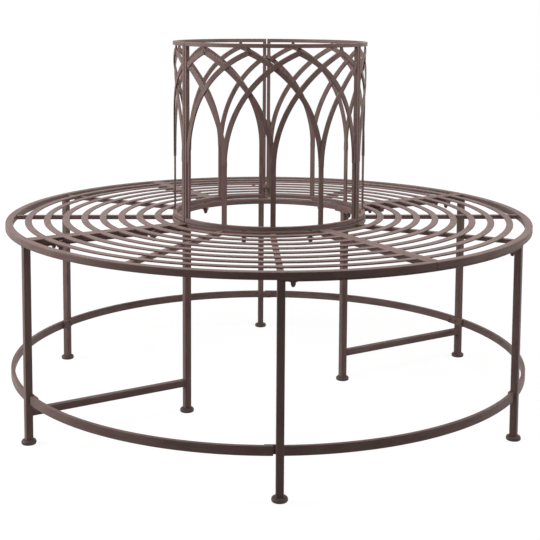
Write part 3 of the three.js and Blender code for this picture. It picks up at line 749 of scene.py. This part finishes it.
sleeve = turned_mesh("sleeve", ([(0.0, SUNK), (SLEEVE_RADIUS, SUNK), (SLEEVE_RADIUS, -SLEEVE_LENGTH - SUNK),
                                 (0.0, -SLEEVE_LENGTH - SUNK)], HEAD_SIDES))
repeated("ring_sleeves", sleeve, sleeve_places)


# The backrest stands on the inner ring in three panels. Each has a low and a top rail of square
# bar, rolled to the circle, and the low rail stands on two short bosses, each round its bolt.
BACK_ANGLE = 120.0
RAIL_SIDE = 0.009
RAIL_LIFT = 0.002
RAIL_CORNER = 0.0009
BACK_END_ROOM = 0.00125
BOSS_RADIUS = 0.006

low_rail_bottom = seat_level + RAIL_LIFT
top_rail_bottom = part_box("back_top_rail_front")[1].z - RAIL_SIDE
boss_places = []
for name, angle in BACK_PANELS.items():
    for node, bottom in (("back_low_rail", low_rail_bottom), ("back_top_rail", top_rail_bottom)):
        rail = rolled_bar(f"{node}_{name}_bar", angle, BACK_RADIUS, bottom + RAIL_SIDE / 2, RAIL_SIDE,
                          RAIL_SIDE, RAIL_CORNER, 0, BACK_ANGLE, BACK_END_ROOM)
        on_bench(rail, "brown_coat", f"{node}_{name}")
    for turn in BOSS_TURNS:
        boss_places.append(bench_turn(angle + turn) @ Matrix.Translation((BACK_RADIUS, 0, seat_level)))
boss_height = low_rail_bottom - seat_level
boss = turned_mesh("boss", ([(0.0, -SUNK), (BOSS_RADIUS, -SUNK), (BOSS_RADIUS, boss_height + SUNK),
                             (0.0, boss_height + SUNK)], HEAD_SIDES))
repeated("back_bosses", boss, boss_places)


# Between the rails each panel is filled by a lattice of flat bar: five uprights, whose heads fork
# into arcs that cross and meet as pointed arches, and short tapered uprights from their points to
# the top rail.
LATTICE_WIDTH = 0.012
LATTICE_THICKNESS = 0.004
LATTICE_CORNER = 0.0007
LAYER_STEP = 0.001
LATTICE_FEET = 5
END_FOOT_INSET = 0.0122
ARCH_SPRING_SHARE = 0.328
ARCH_FORK_SHARE = 0.438
ARCH_REACH_SHARE = 1.5
ARCH_TOP_ROOM = 0.0113
ARCH_STEPS = 44
STUB_WIDTH = 0.0055
STUB_WIDER_BELOW = 3.0
POST_WIDTH = 0.0085
POST_CORNER = 0.0008


def lattice_tree():
    """Strips laid out flat, as distance along the back against height, and rolled round the axis."""
    tree, add, given = started_tree(
        "arched_lattice", Radius="Float", Width="Float", Stub_Width="Float", Depth="Float", Corner="Float",
        Feet="Int", First_Foot="Float", Pitch="Float", Bottom="Float", Spring="Float", Fork="Float",
        Apex="Float", Top="Float", Arch_Radius="Float", Arch_Turn="Float", Layer="Float",
        Material="Material")

    def row(count, start, shape):
        """Copies of a curve or a mesh, a pitch apart, from a place along the back."""
        points = add("GeometryNodeMeshLine", Count=count, Start_Location=joined_xyz(add, X=start),
                     Offset=joined_xyz(add, X=given["Pitch"]))
        copies = add("GeometryNodeInstanceOnPoints", Points=points.outputs["Mesh"], Instance=shape)
        solid = add("GeometryNodeRealizeInstances", Geometry=copies.outputs["Instances"])
        return solid.outputs["Geometry"]

    def upright(low, high):
        line = add("GeometryNodeCurvePrimitiveLine", Start=joined_xyz(add, Y=low),
                   End=joined_xyz(add, Y=high))
        return add("GeometryNodeResampleCurve", Curve=line.outputs["Curve"], Count=3).outputs["Curve"]

    def arc(side):
        """Half an arch that leaves its foot upright and leans to this side."""
        offset = math.pi if side > 0 else 0.0
        sweep = reckon(add, "MULTIPLY", given["Arch Turn"], -side)
        half = add("GeometryNodeCurveArc", Resolution=ARCH_STEPS, Radius=given["Arch Radius"],
                   Start_Angle=offset, Sweep_Angle=sweep)
        place = joined_xyz(add, X=reckon(add, "MULTIPLY", given["Arch Radius"], side), Y=given["Spring"],
                           Z=reckon(add, "MULTIPLY", given["Layer"], side))
        moved = add("GeometryNodeTransform", Geometry=half.outputs["Curve"], Translation=place)
        return moved.outputs["Geometry"]

    fewer = reckon(add, "SUBTRACT", given["Feet"], 1)
    more = reckon(add, "ADD", given["Feet"], 2)
    before = reckon(add, "SUBTRACT", given["First Foot"], given["Pitch"])
    between = reckon(add, "MULTIPLY_ADD", given["Pitch"], 0.5, given["First Foot"])
    rows = [row(given["Feet"], given["First Foot"], upright(given["Bottom"], given["Fork"])),
            row(more, before, arc(1)), row(more, before, arc(-1))]
    paths = add("GeometryNodeJoinGeometry")
    for geometry in rows:
        tree.links.new(geometry, paths.inputs["Geometry"])
    stub_sizes = {"Width": given["Stub Width"], "Depth": given["Depth"], "Corner": given["Corner"]}
    stub = bar_along(add, upright(given["Apex"], given["Top"]), stub_sizes)
    position = add("GeometryNodeInputPosition").outputs["Position"]
    place = add("ShaderNodeSeparateXYZ", Vector=position).outputs
    wider = add("ShaderNodeMapRange", Value=place["Y"], From_Min=given["Apex"], From_Max=given["Top"],
                To_Min=STUB_WIDER_BELOW, To_Max=1.0).outputs["Result"]
    tapered = add("GeometryNodeSetPosition", Geometry=stub, Position=joined_xyz(
        add, X=reckon(add, "MULTIPLY", place["X"], wider), Y=place["Y"], Z=place["Z"]))
    strips = add("GeometryNodeJoinGeometry")
    for geometry in (bar_along(add, paths.outputs["Geometry"], given),
                     row(fewer, between, tapered.outputs["Geometry"])):
        tree.links.new(geometry, strips.inputs["Geometry"])
    flat = add("ShaderNodeSeparateXYZ", Vector=position).outputs
    grained = with_grain(add, strips.outputs["Geometry"],
                         joined_xyz(add, X=flat["X"], Y=flat["Y"], Z=flat["Z"]))
    turn = reckon(add, "DIVIDE", flat["X"], given["Radius"])
    out = reckon(add, "ADD", flat["Z"], given["Radius"])
    rolled = add("GeometryNodeSetPosition", Geometry=grained, Position=joined_xyz(
        add, X=reckon(add, "MULTIPLY", out, reckon(add, "COSINE", turn)),
        Y=reckon(add, "MULTIPLY", out, reckon(add, "SINE", turn)), Z=flat["Y"]))
    finished_tree(add, rolled.outputs["Geometry"], given)
    return tree


def cut_off(mesh, through, outwards):
    """Cuts a mesh of closed strips at a plane, removes what lies outwards and closes the ends."""
    bm = bmesh.new()
    bm.from_mesh(mesh)
    geometry = bm.verts[:] + bm.edges[:] + bm.faces[:]
    bmesh.ops.bisect_plane(bm, geom=geometry, plane_co=through, plane_no=outwards, clear_outer=True)
    bmesh.ops.holes_fill(bm, edges=[edge for edge in bm.edges if edge.is_boundary])
    bm.to_mesh(mesh)
    bm.free()


arched_lattice = lattice_tree()
low_rail_top = low_rail_bottom + RAIL_SIDE
clear_height = top_rail_bottom - low_rail_top
back_arc = math.radians(BACK_ANGLE) * BACK_RADIUS
foot_pitch = (back_arc - 2 * END_FOOT_INSET) / (LATTICE_FEET - 1)
spring = low_rail_top + ARCH_SPRING_SHARE * clear_height
apex = top_rail_bottom - ARCH_TOP_ROOM
arch_reach = ARCH_REACH_SHARE * foot_pitch
arch_rise = apex - spring
arch_radius = (arch_reach ** 2 + arch_rise ** 2) / (2 * arch_reach)
cut_aside = BACK_END_ROOM + POST_WIDTH / 2
post_outline = rounded_outline(RAIL_SIDE, POST_WIDTH, POST_CORNER)
for name, angle in BACK_PANELS.items():
    strips = made_by(arched_lattice, f"strips_{name}", Radius=BACK_RADIUS, Width=LATTICE_WIDTH,
                     Stub_Width=STUB_WIDTH, Depth=LATTICE_THICKNESS, Corner=LATTICE_CORNER,
                     Feet=LATTICE_FEET, First_Foot=END_FOOT_INSET, Pitch=foot_pitch,
                     Bottom=low_rail_top - SUNK, Spring=spring,
                     Fork=low_rail_top + ARCH_FORK_SHARE * clear_height, Apex=apex,
                     Top=top_rail_bottom + SUNK, Arch_Radius=arch_radius,
                     Arch_Turn=math.atan2(arch_rise, arch_radius - arch_reach), Layer=LAYER_STEP,
                     Material=coat)
    cut_off(strips.data, (0, cut_aside, 0), (0, -1, 0))
    far_end = Matrix.Rotation(math.radians(BACK_ANGLE), 3, "Z")
    cut_off(strips.data, far_end @ Vector((0, -cut_aside, 0)), far_end @ Vector((0, 1, 0)))
    strips.data.transform(bench_turn(angle))
    pieces = [strips]
    for side in (1, -1):
        end_turn = angle if side > 0 else angle + BACK_ANGLE
        where = bench_turn(end_turn) @ Matrix.Translation((BACK_RADIUS, side * cut_aside, 0))
        pieces.append(straight_bar(f"post_{name}_{side}", post_outline, low_rail_top, top_rail_bottom,
                                   where, coat, WELDED_END_BEVEL))
    lattice = joined_pieces(f"back_lattice_{name}_strips", pieces)
    on_bench(lattice, "brown_coat", f"back_lattice_{name}")


# Small flat plates join the end posts of neighbouring panels from inside. Near the top each has a
# round-headed bolt into either post, and near the low rail one large head between the posts.
TIE_THICKNESS = 0.0025
TIE_HEIGHT = 0.014
TIE_CORNER = 0.0012
LOW_TIE_LEVEL = 0.484
TIE_HEAD_RADIUS = 0.0044
TIE_HEAD_HEIGHT = 0.004
LOW_HEAD_RADIUS = 0.0078
TIE_PLATES = {"left": -60, "right": 60, "back": 180}

tie_low, tie_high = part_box("back_tie_plate_back")
tie_width = 2 * (BACK_END_ROOM + POST_WIDTH)
tie_face = BACK_RADIUS - RAIL_SIDE / 2 + SUNK
tie_outline = rounded_outline(TIE_HEIGHT, tie_width, TIE_CORNER)
tie_head = turned_mesh("tie_head", (dome_profile(TIE_HEAD_RADIUS, TIE_HEAD_HEIGHT), HEAD_SIDES))
low_head = turned_mesh("low_head", (dome_profile(LOW_HEAD_RADIUS, TIE_HEAD_HEIGHT), HEAD_SIDES))
for name, angle in TIE_PLATES.items():
    for row, level in (("top", (tie_low.z + tie_high.z) / 2), ("low", LOW_TIE_LEVEL)):
        where = inward(angle, tie_face, level)
        plate = straight_bar(f"back_tie_{name}_{row}", tie_outline, 0, TIE_THICKNESS + SUNK, where, coat)
        on_bench(plate, "brown_coat", *([f"back_tie_plate_{name}"] if row == "top" else []))
        head_face = tie_face - TIE_THICKNESS - SUNK
        asides, head = ((-cut_aside, cut_aside), tie_head) if row == "top" else ((0,), low_head)
        places = [inward(angle, head_face, level, aside) for aside in asides]
        repeated(f"back_tie_bolts_{name}_{row}", head, places)


# Studio: a white floor and a white surround, soft light from a wide lamp overhead, a small one above
# the front of the seat and weaker ones at both sides, and the camera where the photograph's stood.
CAMERA_DISTANCE = 2.74561
CAMERA_HEIGHT = 0.94502
CAMERA_PITCH = 0.10167
CAMERA_TURN = -0.03855
CAMERA_ROLL = 0.00616
FOCAL_PIXELS = 1144.28
PHOTO_PIXELS = 540
CENTRE_X = 269.628
CENTRE_Y = 127.0
SENSOR = 36.0
FLOOR_SIZE = 14.0
WHITE = (1.0, 1.0, 1.0, 1.0)
LIT_GREY = (0.35, 0.35, 0.35, 1.0)
SHADOW_GREY = (0.2, 0.2, 0.2, 1.0)
NEAR_GLOW = 0.92
GLOW_FROM = 0.9
GLOW_TO = 2.4
SURROUND_TINT = (1.0, 0.88, 0.82, 1.0)
SURROUND_STRENGTH = 0.08
LAMPS = {"overhead": ((0.0, -0.25, 1.9), (0.0, 0.0, 0.0), 2.8, 0.95, 18.5),
         "front": ((0.0, -0.52, 1.5), (math.radians(40), 0.0, 0.0), 1.5, 0.4, 2.2),
         "left": ((-2.6, -0.1, 1.1), (0.0, -math.pi / 2, 0.0), 1.4, 1.4, 30.0),
         "right": ((2.6, -0.1, 1.1), (0.0, math.pi / 2, 0.0), 1.4, 1.4, 11.0)}

camera_data = bpy.data.cameras.new("camera")
camera_data.sensor_width = SENSOR
camera_data.sensor_fit = "HORIZONTAL"
camera_data.lens = FOCAL_PIXELS / PHOTO_PIXELS * SENSOR
camera_data.shift_x = (PHOTO_PIXELS / 2 - CENTRE_X) / PHOTO_PIXELS
camera_data.shift_y = (CENTRE_Y - PHOTO_PIXELS / 2) / PHOTO_PIXELS
camera = bpy.data.objects.new("camera", camera_data)
stand = Matrix.Translation((CAMERA_DISTANCE * math.sin(CAMERA_TURN),
                            -CAMERA_DISTANCE * math.cos(CAMERA_TURN), CAMERA_HEIGHT))
camera.matrix_world = (stand @ Matrix.Rotation(CAMERA_TURN, 4, "Z")
                       @ Matrix.Rotation(math.pi / 2 - CAMERA_PITCH, 4, "X")
                       @ Matrix.Rotation(CAMERA_ROLL, 4, "Z"))
bpy.context.scene.collection.objects.link(camera)
bpy.context.scene.camera = camera
bpy.context.scene.view_settings.view_transform = "Standard"


def where_seen(add):
    """1 where the background is seen, directly, mirrored or through something, and 0 where it lights."""
    rays = add("ShaderNodeLightPath").outputs
    mirrored = reckon(add, "MAXIMUM", rays["Is Glossy Ray"], rays["Is Transmission Ray"])
    return reckon(add, "MAXIMUM", rays["Is Camera Ray"], mirrored)


def mixed(tree, add, factor, first, second):
    node = add("ShaderNodeMixShader", Fac=factor)
    tree.links.new(first, node.inputs[1])
    tree.links.new(second, node.inputs[2])
    return node.outputs["Shader"]


floor_material = bpy.data.materials.new("white_floor")
floor_material.use_nodes = True
floor_material.node_tree.nodes.clear()
add = node_adder(floor_material.node_tree)
paper = add("ShaderNodeBsdfDiffuse", Color=LIT_GREY).outputs["BSDF"]
shaded = add("ShaderNodeBsdfDiffuse", Color=SHADOW_GREY).outputs["BSDF"]
from_bench = add("ShaderNodeVectorMath", {"operation": "LENGTH"},
                 Vector=add("ShaderNodeNewGeometry").outputs["Position"]).outputs["Value"]
strength = add("ShaderNodeMapRange", Value=from_bench, From_Min=GLOW_FROM, From_Max=GLOW_TO,
               To_Min=NEAR_GLOW, To_Max=1.0).outputs["Result"]
glow = add("ShaderNodeEmission", Color=WHITE, Strength=strength).outputs["Emission"]
both = add("ShaderNodeAddShader")
floor_material.node_tree.links.new(shaded, both.inputs[0])
floor_material.node_tree.links.new(glow, both.inputs[1])
add("ShaderNodeOutputMaterial",
    Surface=mixed(floor_material.node_tree, add, where_seen(add), paper, both.outputs["Shader"]))
floor_mesh = bpy.data.meshes.new("floor")
half = FLOOR_SIZE / 2
floor_mesh.from_pydata([(-half, -half, 0), (half, -half, 0), (half, half, 0), (-half, half, 0)], [],
                       [(0, 1, 2, 3)])
floor_mesh.materials.append(floor_material)
new_piece("floor", floor_mesh)

world = bpy.data.worlds.new("studio")
bpy.context.scene.world = world
world.use_nodes = True
world.node_tree.nodes.clear()
add = node_adder(world.node_tree)
plain = add("ShaderNodeBackground", Color=SURROUND_TINT, Strength=SURROUND_STRENGTH).outputs["Background"]
white = add("ShaderNodeBackground", Color=WHITE, Strength=1.0).outputs["Background"]
add("ShaderNodeOutputWorld", Surface=mixed(world.node_tree, add, where_seen(add), plain, white))

for name, (place, turn, width, depth, energy) in LAMPS.items():
    lamp_data = bpy.data.lights.new(name, "AREA")
    lamp_data.shape = "RECTANGLE"
    lamp_data.size = width
    lamp_data.size_y = depth
    lamp_data.energy = energy
    lamp = bpy.data.objects.new(name, lamp_data)
    lamp.location = place
    lamp.rotation_euler = turn
    bpy.context.scene.collection.objects.link(lamp)
